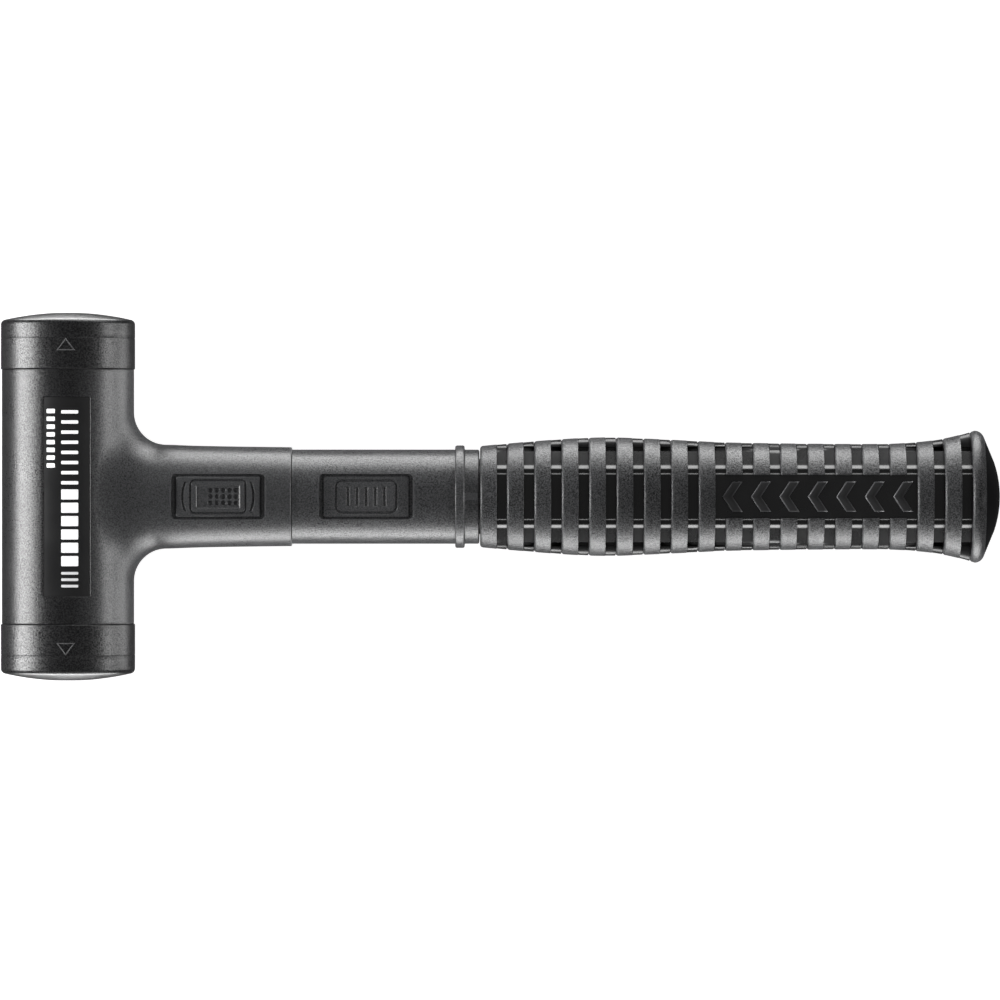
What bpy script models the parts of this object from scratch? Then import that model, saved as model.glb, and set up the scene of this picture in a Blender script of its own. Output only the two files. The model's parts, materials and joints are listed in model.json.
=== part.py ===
"""Dead blow mallet lying on its side: handle along X, strike faces along Y, +Z up.

The origin is under the middle of the mallet, on the surface it lies on. Sizes are in metres.
Distances "along the handle" are measured from the axis of the head towards the pommel.
"""
import math

import bmesh
import bpy

MM = 0.001
GAP = 0.3 * MM  # clearance between neighbouring pieces

# Whole mallet
STRIKE_RADIUS = 20.0 * MM
POMMEL_END = 278.1 * MM
AXIS_HEIGHT = STRIKE_RADIUS
HEAD_X = (STRIKE_RADIUS - POMMEL_END) / 2

# Head casing with its neck
BARREL_RADIUS = 19.7 * MM
BARREL_HALF_LENGTH = 37.85 * MM
NECK_FILLET = 9.7 * MM
FILLET_ROOT_DEPTH = 1.5 * MM
NECK_OUTLINE = ((15.5, 30.5), (15.2, 38.0), (14.95, 51.0), (14.8, 63.3), (14.75, 66.5), (14.35, 66.9))
NECK_RADIUS = 15.5 * MM
NECK_END = 66.9 * MM

# Strike faces
WEAR_LINE = 47.2 * MM
EDGE_ROUNDING = 1.5 * MM
EDGE_CENTRE = 51.3 * MM
DOME_RADIUS = 84.0 * MM
LAND_RADIUS = 5.0 * MM

# Shot canister and its charge
CANISTER_OUTER = 16.2 * MM
CANISTER_INNER = 14.2 * MM
CANISTER_HALF_LENGTH = 44.0 * MM
CHAMBER_HALF_LENGTH = 33.0 * MM
LID_THICKNESS = 3.4 * MM
BALL_RADIUS = 4.5 * MM
BALL_LAYERS = 5
BALLS_AROUND = 6

# Handle
TUBE_OUTER = 9.0 * MM
TUBE_INNER = 7.0 * MM
TUBE_START = 12.0 * MM
TUBE_END = 258.0 * MM
PLUG_DEPTH = 12.0 * MM
PLUG_HEAD = 2.0 * MM
SPIGOT_RADIUS = 11.2 * MM
SPIGOT_DEPTH = 6.0 * MM
SLEEVE_RADIUS = 14.05 * MM
COLLAR_RADIUS = 15.3 * MM
COLLAR_START = 115.6 * MM
COLLAR_END = 118.4 * MM
SLEEVE_END = 122.4 * MM
SLEEVE_SPIGOT_END = 127.0 * MM

# Grip: ribs that follow a waisted envelope around an eight-sided core with two side webs
GRIP_START = 123.0 * MM
GRIP_ENVELOPE = (
    (123.0, 15.1), (129.0, 15.66), (141.0, 16.7), (153.0, 17.5), (162.0, 17.7), (171.0, 17.4),
    (183.0, 16.85), (195.0, 16.25), (207.0, 16.0), (225.0, 15.8), (245.0, 15.8), (254.0, 16.35),
    (260.0, 17.1), (266.0, 18.4), (270.6, 19.7),
)
FIRST_RIB_END = 128.0 * MM
RIB_COUNT = 18
RIB_WIDTH = 5.0 * MM
RIB_PITCH = 8.18 * MM
SECOND_RIB_START = 131.0 * MM
CORE_HALF_HEIGHT = 12.0 * MM
CORE_HALF_WIDTH = 13.1 * MM
CORE_CORNER_ANGLE = 36
WEB_CORNER_ANGLE = 60
WEB_START_ANGLE = 64
WEB_DROP = 0.15 * MM
QUARTER_ANGLES = (0, 12, 24, CORE_CORNER_ANGLE, 48, WEB_CORNER_ANGLE, WEB_START_ANGLE, 77)
POMMEL_ROUNDING = 2.8 * MM
POMMEL_DOME_RADIUS = 31.5 * MM
POMMEL_DOME_EDGE = 10.5 * MM

# Flat recesses on the front: (start, end) along the handle, half width, floor height over the axis
NECK_RECESS = (30.7 * MM, 58.8 * MM, 6.9 * MM, 12.7 * MM)
SLEEVE_RECESS = (74.8 * MM, 103.1 * MM, 6.9 * MM, 11.5 * MM)
GRIP_PANEL = (193.7 * MM, 253.4 * MM, 6.4 * MM, 11.7 * MM)
RECESS_CORNER = 1.2 * MM

# Label strip on the front of the barrel
LABEL_X = (-7.3 * MM, 6.4 * MM)
LABEL_Y = (-30.0 * MM, 30.0 * MM)
LABEL_RADIUS = 19.6 * MM
LABEL_THICKNESS = 0.3 * MM

ROUND_SEGMENTS = 40
PLAIN_SEGMENTS = 32
FILLET_STEPS = 5
ARC_STEPS = 4

TOWARDS_POMMEL = (0, math.radians(90), 0)
TOWARDS_POS_Y = (math.radians(-90), 0, 0)
TOWARDS_NEG_Y = (math.radians(90), 0, 0)


# ---------------------------------------------------------------- helpers

def clear_scene():
    for obj in list(bpy.data.objects):
        bpy.data.objects.remove(obj, do_unlink=True)


def new_collection(name):
    collection = bpy.data.collections.new(name)
    bpy.context.scene.collection.children.link(collection)
    return collection


def new_material(name, color, roughness, metallic=0.0):
    material = bpy.data.materials.new(name)
    material.use_nodes = True
    shader = material.node_tree.nodes["Principled BSDF"]
    shader.inputs["Base Color"].default_value = (*color, 1.0)
    shader.inputs["Roughness"].default_value = roughness
    shader.inputs["Metallic"].default_value = metallic
    return material


def new_object(name, mesh, collection, material=None):
    obj = bpy.data.objects.new(name, mesh)
    collection.objects.link(obj)
    if material:
        mesh.materials.append(material)
    return obj


def place_on_head_axis(obj, rotation=(0, 0, 0)):
    obj.location = (HEAD_X, 0, AXIS_HEIGHT)
    obj.rotation_euler = rotation


def mark_as_guide(obj):
    obj.hide_render = True
    obj.display_type = "WIRE"


def mesh_from(bm, name):
    mesh = bpy.data.meshes.new(name)
    bm.to_mesh(mesh)
    bm.free()
    return mesh


def smooth_round_faces(mesh):
    mesh.shade_smooth()
    mesh.set_sharp_from_angle(angle=math.radians(30))


def turned(name, outline, rotation, collection, material=None, segments=PLAIN_SEGMENTS):
    """Turn an outline of (radius, distance) points, listed along the outer side as distance grows.

    An outline that starts and ends on the axis is left open; any other is closed through its bore.
    """
    mesh = bpy.data.meshes.new(name)
    points = [(radius, 0, distance) for radius, distance in reversed(outline)]
    edges = [(i, i + 1) for i in range(len(points) - 1)]
    if outline[0][0] > 0:
        edges.append((len(points) - 1, 0))
    mesh.from_pydata(points, edges, [])
    obj = new_object(name, mesh, collection, material)
    screw = obj.modifiers.new("turn", "SCREW")
    screw.steps = segments
    screw.render_steps = segments
    screw.use_merge_vertices = True
    screw.merge_threshold = 1e-6
    screw.use_smooth_shade = True
    place_on_head_axis(obj, rotation)
    return obj


def box(name, low, high, collection, corner=0.0):
    """A box between two corners in world axes; corner rounds its upright edges."""
    bm = bmesh.new()
    bmesh.ops.create_cube(bm, size=1.0)
    size = [high[i] - low[i] for i in range(3)]
    bmesh.ops.scale(bm, vec=size, verts=bm.verts)
    if corner:
        upright = [edge for edge in bm.edges if abs(edge.verts[0].co.z - edge.verts[1].co.z) > size[2] / 2]
        bmesh.ops.bevel(bm, geom=upright, offset=corner, segments=3, affect="EDGES", profile=0.5)
    obj = new_object(name, mesh_from(bm, name), collection)
    obj.location = [(low[i] + high[i]) / 2 for i in range(3)]
    mark_as_guide(obj)
    return obj


def boolean(obj, other, operation):
    modifier = obj.modifiers.new(other.name, "BOOLEAN")
    modifier.operation = operation
    modifier.object = other
    modifier.solver = "EXACT"


def arc(centre, radius, start, end, steps):
    """Points of an arc in an outline, by angle in degrees from the distance direction."""
    angles = [math.radians(start + (end - start) * i / steps) for i in range(steps + 1)]
    return [(centre[0] + radius * math.sin(a), centre[1] + radius * math.cos(a)) for a in angles]


def smooth_through(stations, x):
    """Read a smooth curve through (x, value) stations, both in millimetres, at x in metres."""
    points = [(a * MM, b * MM) for a, b in stations]
    last = len(points) - 1

    def slope(i):
        before, after = points[max(i - 1, 0)], points[min(i + 1, last)]
        return (after[1] - before[1]) / (after[0] - before[0])

    i = max(k for k in range(last) if k == 0 or points[k][0] <= x)
    (x0, y0), (x1, y1) = points[i], points[i + 1]
    t = min(max((x - x0) / (x1 - x0), 0.0), 1.0)
    rise = (2 * t**3 - 3 * t**2 + 1) * y0 + (3 * t**2 - 2 * t**3) * y1
    bend = (t**3 - 2 * t**2 + t) * slope(i) + (t**3 - t**2) * slope(i + 1)
    return rise + bend * (x1 - x0)


def bridge_rings(bm, rings):
    """Join a list of equally long rings of vertices with quads."""
    for lower, upper in zip(rings, rings[1:]):
        count = len(lower)
        for i in range(count):
            j = (i + 1) % count
            bm.faces.new((lower[i], lower[j], upper[j], upper[i]))


def front_recess(name, recess, collection, corner=RECESS_CORNER):
    start, end, half_width, floor = recess
    low = (HEAD_X + start, -half_width, AXIS_HEIGHT + floor)
    high = (HEAD_X + end, half_width, AXIS_HEIGHT + 2 * STRIKE_RADIUS)
    return box(name, low, high, collection, corner)


# ---------------------------------------------------------------- head

def neck_loft(collection):
    """The neck with the rolling-ball fillet that blends it into the barrel, as one closed loft."""
    bm = bmesh.new()
    reach_neck = NECK_RADIUS + NECK_FILLET
    reach_barrel = BARREL_RADIUS + NECK_FILLET
    angles = [2 * math.pi * (i + 0.5) / ROUND_SEGMENTS for i in range(ROUND_SEGMENTS)]

    def fillet_point(angle, t):
        """t runs from 0 on the barrel to 1 on the neck; below 0 is the root inside the barrel."""
        y, z = reach_neck * math.cos(angle), reach_neck * math.sin(angle)
        x = math.sqrt(reach_barrel**2 - z**2)
        if t < 0:
            scale = (BARREL_RADIUS - FILLET_ROOT_DEPTH) / reach_barrel
            return x * scale, y, z * scale
        to_barrel = (-x / reach_barrel, 0.0, -z / reach_barrel)
        to_neck = (0.0, -math.cos(angle), -math.sin(angle))
        spread = math.acos(sum(a * b for a, b in zip(to_barrel, to_neck)))
        k0 = math.sin((1 - t) * spread) / math.sin(spread)
        k1 = math.sin(t * spread) / math.sin(spread)
        direction = [k0 * a + k1 * b for a, b in zip(to_barrel, to_neck)]
        return tuple(c + NECK_FILLET * d for c, d in zip((x, y, z), direction))

    stations = [-1] + [i / FILLET_STEPS for i in range(FILLET_STEPS + 1)]
    rings = [[bm.verts.new(fillet_point(angle, t)) for angle in angles] for t in stations]
    for radius, distance in NECK_OUTLINE:
        ring = [(distance * MM, radius * MM * math.cos(a), radius * MM * math.sin(a)) for a in angles]
        rings.append([bm.verts.new(point) for point in ring])
    bridge_rings(bm, rings)
    bm.faces.new(rings[-1])
    root = bm.verts.new((BARREL_RADIUS / 4, 0, 0))
    for i, vert in enumerate(rings[0]):
        bm.faces.new((root, rings[0][(i + 1) % len(rings[0])], vert))
    bmesh.ops.recalc_face_normals(bm, faces=bm.faces)
    neck = new_object("neck_loft", mesh_from(bm, "neck_loft"), collection)
    smooth_round_faces(neck.data)
    place_on_head_axis(neck)
    mark_as_guide(neck)
    return neck


def canister_bore(collection):
    radius, half_length = CANISTER_OUTER + GAP, BARREL_HALF_LENGTH + 2 * GAP
    outline = [(0, -half_length), (radius, -half_length), (radius, half_length), (0, half_length)]
    bore = turned("canister_bore", outline, TOWARDS_POS_Y, collection, segments=ROUND_SEGMENTS)
    mark_as_guide(bore)
    return bore


def head_housing(collection, guides, material, bore):
    half = BARREL_HALF_LENGTH
    barrel = [(0, -half), (BARREL_RADIUS, -half), (BARREL_RADIUS, half), (0, half)]
    housing = turned("head_housing", barrel, TOWARDS_POS_Y, collection, material, ROUND_SEGMENTS)
    boolean(housing, neck_loft(guides), "UNION")

    tube_hole, socket_end = TUBE_OUTER + GAP, NECK_END + GAP
    outline = [
        (0, 0), (tube_hole, 0), (tube_hole, NECK_END - SPIGOT_DEPTH - GAP),
        (SPIGOT_RADIUS + GAP, NECK_END - SPIGOT_DEPTH - GAP), (SPIGOT_RADIUS + GAP, socket_end),
        (0, socket_end),
    ]
    socket = turned("neck_socket", outline, TOWARDS_POMMEL, guides)
    mark_as_guide(socket)
    boolean(housing, socket, "DIFFERENCE")
    boolean(housing, front_recess("neck_recess", NECK_RECESS, guides), "DIFFERENCE")
    boolean(housing, label_pocket(guides), "DIFFERENCE")
    boolean(housing, bore, "DIFFERENCE")


def label_block(name, collection, margin):
    low = (HEAD_X + LABEL_X[0] - margin, LABEL_Y[0] - margin, AXIS_HEIGHT)
    high = (HEAD_X + LABEL_X[1] + margin, LABEL_Y[1] + margin, AXIS_HEIGHT + 2 * STRIKE_RADIUS)
    return box(name, low, high, collection)


def label_pocket(collection):
    floor = LABEL_RADIUS - LABEL_THICKNESS - GAP
    half = BARREL_HALF_LENGTH
    outline = [(floor, -half), (STRIKE_RADIUS + GAP, -half), (STRIKE_RADIUS + GAP, half), (floor, half)]
    pocket = turned("label_pocket", outline, TOWARDS_POS_Y, collection, segments=ROUND_SEGMENTS)
    boolean(pocket, label_block("label_pocket_block", collection, GAP), "INTERSECT")
    mark_as_guide(pocket)
    return pocket


def head_label(collection, guides, material):
    inner, half = LABEL_RADIUS - LABEL_THICKNESS, BARREL_HALF_LENGTH
    outline = [(inner, -half), (LABEL_RADIUS, -half), (LABEL_RADIUS, half), (inner, half)]
    label = turned("head_label", outline, TOWARDS_POS_Y, collection, material, ROUND_SEGMENTS)
    boolean(label, label_block("label_block", guides, 0.0), "INTERSECT")


def strike_face(side, rotation, collection, material):
    """Domed face with a spigot inside the canister and a skirt that meets the barrel."""
    edge_radius = STRIKE_RADIUS - EDGE_ROUNDING
    dome_centre = EDGE_CENTRE - math.sqrt((DOME_RADIUS - EDGE_ROUNDING) ** 2 - edge_radius**2)
    dome_edge_angle = math.degrees(math.asin(edge_radius / (DOME_RADIUS - EDGE_ROUNDING)))
    land_angle = math.degrees(math.asin(LAND_RADIUS / DOME_RADIUS))
    land_height = dome_centre + DOME_RADIUS * math.cos(math.radians(land_angle))
    spigot = CANISTER_INNER - GAP
    spigot_start = CHAMBER_HALF_LENGTH + LID_THICKNESS + GAP
    pocket_depth = CANISTER_HALF_LENGTH + GAP
    skirt_start = BARREL_HALF_LENGTH + GAP
    groove = 0.2 * MM
    outline = [
        (0, spigot_start), (spigot, spigot_start), (spigot, pocket_depth),
        (CANISTER_OUTER + GAP, pocket_depth), (CANISTER_OUTER + GAP, skirt_start),
        (STRIKE_RADIUS, skirt_start), (STRIKE_RADIUS, WEAR_LINE - groove),
        (STRIKE_RADIUS - groove, WEAR_LINE), (STRIKE_RADIUS, WEAR_LINE + groove),
    ]
    outline += arc((edge_radius, EDGE_CENTRE), EDGE_ROUNDING, 90, dome_edge_angle, ARC_STEPS)
    outline += arc((0, dome_centre), DOME_RADIUS, dome_edge_angle, land_angle, ARC_STEPS)[1:]
    outline.append((0, land_height))
    turned(f"strike_face_{side}", outline, rotation, collection, material, ROUND_SEGMENTS)


# ---------------------------------------------------------------- canister and charge

def shot_canister(collection, material):
    half = CANISTER_HALF_LENGTH
    outline = [(CANISTER_INNER, -half), (CANISTER_OUTER, -half), (CANISTER_OUTER, half), (CANISTER_INNER, half)]
    turned("shot_canister", outline, TOWARDS_POS_Y, collection, material)


def canister_lid(side, rotation, collection, material):
    radius, start = CANISTER_INNER - GAP, CHAMBER_HALF_LENGTH
    end = start + LID_THICKNESS
    dish_radius, dish_depth = 9.0 * MM, 0.8 * MM
    outline = [
        (0, start), (radius, start), (radius, end), (dish_radius, end),
        (dish_radius - dish_depth, end - dish_depth), (0, end - dish_depth),
    ]
    turned(f"canister_lid_{side}", outline, rotation, collection, material)


def shot_charge(collection, material):
    """Layers of balls, one in the middle and six around it, resting against the lid at -Y."""
    slide = bpy.data.objects.new("shot_slide_axis", None)
    collection.objects.link(slide)
    slide.location = (HEAD_X, 0, AXIS_HEIGHT)
    bm = bmesh.new()
    bmesh.ops.create_icosphere(bm, subdivisions=2, radius=BALL_RADIUS)
    mesh = mesh_from(bm, "shot_ball")
    mesh.shade_smooth()
    mesh.materials.append(material)
    spacing = 2 * BALL_RADIUS + GAP
    number = 0
    for layer in range(BALL_LAYERS):
        y = -CHAMBER_HALF_LENGTH + GAP + BALL_RADIUS + layer * spacing
        places = [(0.0, 0.0)]
        for k in range(BALLS_AROUND):
            angle = 2 * math.pi * k / BALLS_AROUND
            places.append((spacing * math.cos(angle), spacing * math.sin(angle)))
        for x, z in places:
            number += 1
            ball = new_object(f"shot_ball_{number:02d}", mesh, collection)
            ball.parent = slide
            ball.location = (x, y, z)


# ---------------------------------------------------------------- handle

def handle_tube(collection, material, bore):
    outline = [
        (TUBE_INNER, TUBE_START), (TUBE_OUTER, TUBE_START), (TUBE_OUTER, TUBE_END), (TUBE_INNER, TUBE_END),
    ]
    tube = turned("handle_tube", outline, TOWARDS_POMMEL, collection, material)
    boolean(tube, bore, "DIFFERENCE")


def tube_plug(collection, material):
    radius, chamfer = TUBE_INNER - GAP, 0.5 * MM
    start, seat = TUBE_END - PLUG_DEPTH, TUBE_END + GAP
    outline = [
        (0, start), (radius - chamfer, start), (radius, start + chamfer), (radius, seat),
        (TUBE_OUTER, seat), (TUBE_OUTER, seat + PLUG_HEAD), (0, seat + PLUG_HEAD),
    ]
    turned("tube_plug", outline, TOWARDS_POMMEL, collection, material)


def handle_sleeve(collection, guides, material):
    bore, shoulder = TUBE_OUTER + GAP, NECK_END + GAP
    edge = 0.4 * MM
    outline = [
        (bore, NECK_END - SPIGOT_DEPTH), (SPIGOT_RADIUS, NECK_END - SPIGOT_DEPTH), (SPIGOT_RADIUS, shoulder),
        (SLEEVE_RADIUS, shoulder), (SLEEVE_RADIUS, COLLAR_START),
        (COLLAR_RADIUS - edge, COLLAR_START), (COLLAR_RADIUS, COLLAR_START + edge),
        (COLLAR_RADIUS, COLLAR_END - edge), (COLLAR_RADIUS - edge, COLLAR_END),
        (SLEEVE_RADIUS, COLLAR_END), (SLEEVE_RADIUS, SLEEVE_END - edge), (SLEEVE_RADIUS - edge, SLEEVE_END),
        (SPIGOT_RADIUS, SLEEVE_END), (SPIGOT_RADIUS, SLEEVE_SPIGOT_END), (bore, SLEEVE_SPIGOT_END),
    ]
    sleeve = turned("handle_sleeve", outline, TOWARDS_POMMEL, collection, material)
    boolean(sleeve, front_recess("sleeve_recess", SLEEVE_RECESS, guides), "DIFFERENCE")


def full_turn_angles():
    """Angles from the front (+Z) round towards +Y, the same in each quarter, mirrored."""
    quarter = list(QUARTER_ANGLES)
    half = quarter + [90] + [180 - a for a in reversed(quarter[1:])]
    return half + [180 + a for a in half]


def slot_radius(degrees, distance):
    """Radius of the grip between two ribs: an eight-sided core with a web on each side."""
    from_front = degrees % 180
    from_front = min(from_front, 180 - from_front)
    angle = math.radians(from_front)
    if from_front >= WEB_START_ANGLE:
        return smooth_through(GRIP_ENVELOPE, distance) - WEB_DROP
    if from_front <= CORE_CORNER_ANGLE:
        return CORE_HALF_HEIGHT / math.cos(angle)
    corner, web = math.radians(CORE_CORNER_ANGLE), math.radians(WEB_CORNER_ANGLE)
    y0, z0 = CORE_HALF_HEIGHT * math.tan(corner), CORE_HALF_HEIGHT
    y1, z1 = CORE_HALF_WIDTH, CORE_HALF_WIDTH / math.tan(web)
    cross = y0 * z1 - y1 * z0
    return cross / ((z1 - z0) * math.sin(angle) - (y1 - y0) * math.cos(angle))


def grip_sections():
    """Sections along the grip as (distance, radius by angle), from its nose to the pommel."""
    def ring(radius, distance):
        return distance, lambda degrees: radius

    def rib(start, end):
        low, high = (smooth_through(GRIP_ENVELOPE, x) for x in (start, end))
        return [ring(low, start), ring(high, end)]

    def slot(start, end):
        return [(x, lambda degrees, x=x: slot_radius(degrees, x)) for x in (start, end)]

    nose = 1.0 * MM
    nose_radius = smooth_through(GRIP_ENVELOPE, GRIP_START)
    sections = [
        ring(nose_radius - nose, GRIP_START),
        ring(nose_radius - 0.3 * nose, GRIP_START + 0.3 * nose),
        ring(nose_radius, GRIP_START + nose),
        ring(smooth_through(GRIP_ENVELOPE, FIRST_RIB_END), FIRST_RIB_END),
    ]
    end = FIRST_RIB_END
    for number in range(RIB_COUNT - 1):
        start = SECOND_RIB_START + number * RIB_PITCH
        sections += slot(end, start)
        end = start + RIB_WIDTH
        sections += rib(start, end)
    rim_start = SECOND_RIB_START + (RIB_COUNT - 1) * RIB_PITCH
    sections += slot(end, rim_start)

    rim_radius = GRIP_ENVELOPE[-1][1] * MM
    rim_centre = (rim_radius - POMMEL_ROUNDING, GRIP_ENVELOPE[-1][0] * MM)
    dome_centre = POMMEL_END - POMMEL_DOME_RADIUS
    dome_angle = math.degrees(math.asin(POMMEL_DOME_EDGE / POMMEL_DOME_RADIUS))
    pommel = [(rim_radius, rim_start)]
    pommel += arc(rim_centre, POMMEL_ROUNDING, 90, dome_angle, ARC_STEPS)
    pommel += arc((0, dome_centre), POMMEL_DOME_RADIUS, dome_angle, 0, ARC_STEPS)[:-1]
    sections += [ring(radius, distance) for radius, distance in pommel]
    return sections


def grip_bore(collection):
    bore, counterbore = TUBE_OUTER + GAP, SPIGOT_RADIUS + GAP
    end = TUBE_END + PLUG_HEAD + 2 * GAP
    outline = [
        (0, GRIP_START - GAP), (counterbore, GRIP_START - GAP), (counterbore, SLEEVE_SPIGOT_END + GAP),
        (bore, SLEEVE_SPIGOT_END + GAP), (bore, end), (0, end),
    ]
    cutter = turned("grip_bore", outline, TOWARDS_POMMEL, collection)
    mark_as_guide(cutter)
    return cutter


def grip_sleeve(collection, guides, material):
    bm = bmesh.new()
    angles = full_turn_angles()
    rings = []
    for distance, radius_at in grip_sections():
        ring = []
        for degrees in angles:
            radius, angle = radius_at(degrees), math.radians(degrees)
            ring.append(bm.verts.new((distance, radius * math.sin(angle), radius * math.cos(angle))))
        rings.append(ring)
    bridge_rings(bm, rings)
    bm.faces.new(rings[0])
    tip = bm.verts.new((POMMEL_END, 0, 0))
    for i, vert in enumerate(rings[-1]):
        bm.faces.new((vert, rings[-1][(i + 1) % len(angles)], tip))
    bmesh.ops.recalc_face_normals(bm, faces=bm.faces)
    grip = new_object("grip_sleeve", mesh_from(bm, "grip_sleeve"), collection, material)
    smooth_round_faces(grip.data)
    place_on_head_axis(grip)
    boolean(grip, grip_bore(guides), "DIFFERENCE")
    boolean(grip, front_recess("grip_panel", GRIP_PANEL, guides, corner=0.0), "DIFFERENCE")


# ---------------------------------------------------------------- assembly

def main():
    clear_scene()
    parts = new_collection("dead_blow_mallet")
    guides = new_collection("cutters")
    casing = new_material("casing_plastic", (0.035, 0.036, 0.038), 0.45)
    strike = new_material("strike_plastic", (0.022, 0.022, 0.024), 0.42)
    sleeve = new_material("sleeve_plastic", (0.035, 0.036, 0.038), 0.45)
    grip = new_material("grip_plastic", (0.030, 0.031, 0.033), 0.50)
    label = new_material("label_film", (0.008, 0.008, 0.009), 0.30)
    steel = new_material("tube_steel", (0.45, 0.46, 0.48), 0.35, 1.0)
    shot = new_material("shot_steel", (0.60, 0.60, 0.62), 0.22, 1.0)
    plug = new_material("plug_plastic", (0.05, 0.05, 0.05), 0.55)

    bore = canister_bore(guides)
    head_housing(parts, guides, casing, bore)
    head_label(parts, guides, label)
    shot_canister(parts, steel)
    for side, rotation in (("pos_y", TOWARDS_POS_Y), ("neg_y", TOWARDS_NEG_Y)):
        strike_face(side, rotation, parts, strike)
        canister_lid(side, rotation, parts, steel)
    shot_charge(parts, shot)
    handle_tube(parts, steel, bore)
    tube_plug(parts, plug)
    handle_sleeve(parts, guides, sleeve)
    grip_sleeve(parts, guides, grip)


main()
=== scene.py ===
"""Looks of the dead blow mallet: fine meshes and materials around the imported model.

Every piece is modelled from the point where the axis of the head crosses the axis of the handle:
x runs along the handle to the pommel, y along the head, z out of the front. Sizes are in metres.
"""
import json
import math

import bmesh
import bpy
import numpy as np
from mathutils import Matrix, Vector


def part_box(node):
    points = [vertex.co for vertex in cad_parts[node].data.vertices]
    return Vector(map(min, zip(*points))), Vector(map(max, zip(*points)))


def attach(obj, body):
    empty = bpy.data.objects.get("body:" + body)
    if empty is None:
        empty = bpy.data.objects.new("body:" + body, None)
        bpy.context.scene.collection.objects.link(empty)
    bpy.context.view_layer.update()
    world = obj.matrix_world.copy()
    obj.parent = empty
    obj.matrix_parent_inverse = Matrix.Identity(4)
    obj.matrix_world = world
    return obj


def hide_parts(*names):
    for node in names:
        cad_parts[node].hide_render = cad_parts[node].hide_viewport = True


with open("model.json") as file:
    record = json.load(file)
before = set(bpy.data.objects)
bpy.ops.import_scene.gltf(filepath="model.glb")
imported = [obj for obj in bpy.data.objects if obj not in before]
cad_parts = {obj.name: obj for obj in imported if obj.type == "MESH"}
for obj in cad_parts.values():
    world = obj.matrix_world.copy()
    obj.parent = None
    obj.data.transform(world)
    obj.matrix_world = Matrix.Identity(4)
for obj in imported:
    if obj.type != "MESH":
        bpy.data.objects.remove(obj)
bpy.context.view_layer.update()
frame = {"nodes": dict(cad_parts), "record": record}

MM = 0.001
BODY = "mallet"


def half_size(node):
    low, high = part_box(node)
    return (high - low) / 2


def along_handle(node):
    """Where a node starts and ends along the handle."""
    low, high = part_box(node)
    return low.x - CROSSING.x, high.x - CROSSING.x


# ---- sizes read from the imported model
CROSSING = sum(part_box("shot_canister"), Vector()) / 2
CANISTER_HALF = half_size("shot_canister")
HOUSING_LOW, HOUSING_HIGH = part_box("head_housing")
BARREL_RADIUS = (HOUSING_HIGH.z - HOUSING_LOW.z) / 2
BARREL_HALF = (HOUSING_HIGH.y - HOUSING_LOW.y) / 2
NECK_END = HOUSING_HIGH.x - CROSSING.x
FACE_RADIUS = half_size("strike_face_pos_y").z
TUBE_RADIUS = half_size("handle_tube").z
SLEEVE_START, SLEEVE_SPIGOT_END = along_handle("handle_sleeve")
COLLAR_RADIUS = half_size("handle_sleeve").z
GRIP_START, POMMEL_END = along_handle("grip_sleeve")
RIM_RADIUS = half_size("grip_sleeve").z
LABEL_HALF = half_size("head_label")
LABEL_CENTRE = Vector((0.0006, -0.0005, 0.0))
LABEL_LOW, LABEL_HIGH = LABEL_CENTRE - LABEL_HALF, LABEL_CENTRE + LABEL_HALF

# ---- sizes of the finer shapes
FIT = 0.3 * MM
SEAM = 0.04 * MM
BORE_RADIUS = CANISTER_HALF.z + FIT
TUBE_HOLE = TUBE_RADIUS + FIT
SPIGOT_RADIUS = 11.2 * MM

NECK_RADIUS = 15.5 * MM
NECK_FILLET = 9.7 * MM
FRONT_FILLET = 17.3 * MM
NECK_FLATNESS = 0.923
NECK_STATIONS = ((25, 15.5), (29.9, 15.5), (38, 15.2), (51, 14.95), (63.3, 14.8), (67, 14.75))
NECK_ROUND_START = 30.0 * MM

# The barrel's grid: its steps, finer near the label's edges, and the patch around the neck
GRID_STEP = 0.85 * MM
EDGE_STEP = 0.07 * MM
EDGE_REACH = 0.3 * MM
FRONT_END_ANGLE = math.radians(125)
PATCH_HALF_ANGLE = math.radians(65)
PATCH_HALF_WIDTH = 27.5 * MM
PATCH_RINGS = 8
FILLET_RINGS = 18

LABEL_SINK = 0.40 * MM
LABEL_LIFT = 0.14 * MM
LABEL_WALL = 0.28 * MM
LABEL_CORNER = 0.3 * MM
LABEL_INK = 0.025 * MM
BAR_CORNER = 0.25 * MM
WIDE_BAR, SLIM_BAR = (-1.0 * MM, 4.1 * MM), (-5.4 * MM, -2.9 * MM)
# Groups of printed bars: reach along x, first y, pitch, width, number of bars and ink
LABEL_BARS = (
    (WIDE_BAR, -20.6 * MM, 3.95 * MM, 3.0 * MM, 6, "white"),
    (WIDE_BAR, 3.6 * MM, 3.0 * MM, 1.0 * MM, 8, "white"),
    (WIDE_BAR, -26.9 * MM, 1.9 * MM, 0.8 * MM, 3, "grey"),
    (SLIM_BAR, 8.6 * MM, 2.3 * MM, 1.3 * MM, 8, "white"),
)

WEAR_LINE = 47.2 * MM
FACE_EDGE_ROUNDING = 1.5 * MM
FACE_EDGE_CENTRE = 51.3 * MM
DOME_RADIUS = 84.0 * MM
LAND_RADIUS = 5.0 * MM
TRIANGLE_X = 0.4 * MM
TRIANGLE_HEIGHT = 3.9 * MM
TRIANGLE_HALF_WIDTH = 2.85 * MM
TRIANGLE_LINE = 0.42 * MM

SLEEVE_RADIUS = 14.05 * MM
COLLAR_START = 115.6 * MM
COLLAR_END = 118.4 * MM
SLEEVE_END = 122.8 * MM

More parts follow.
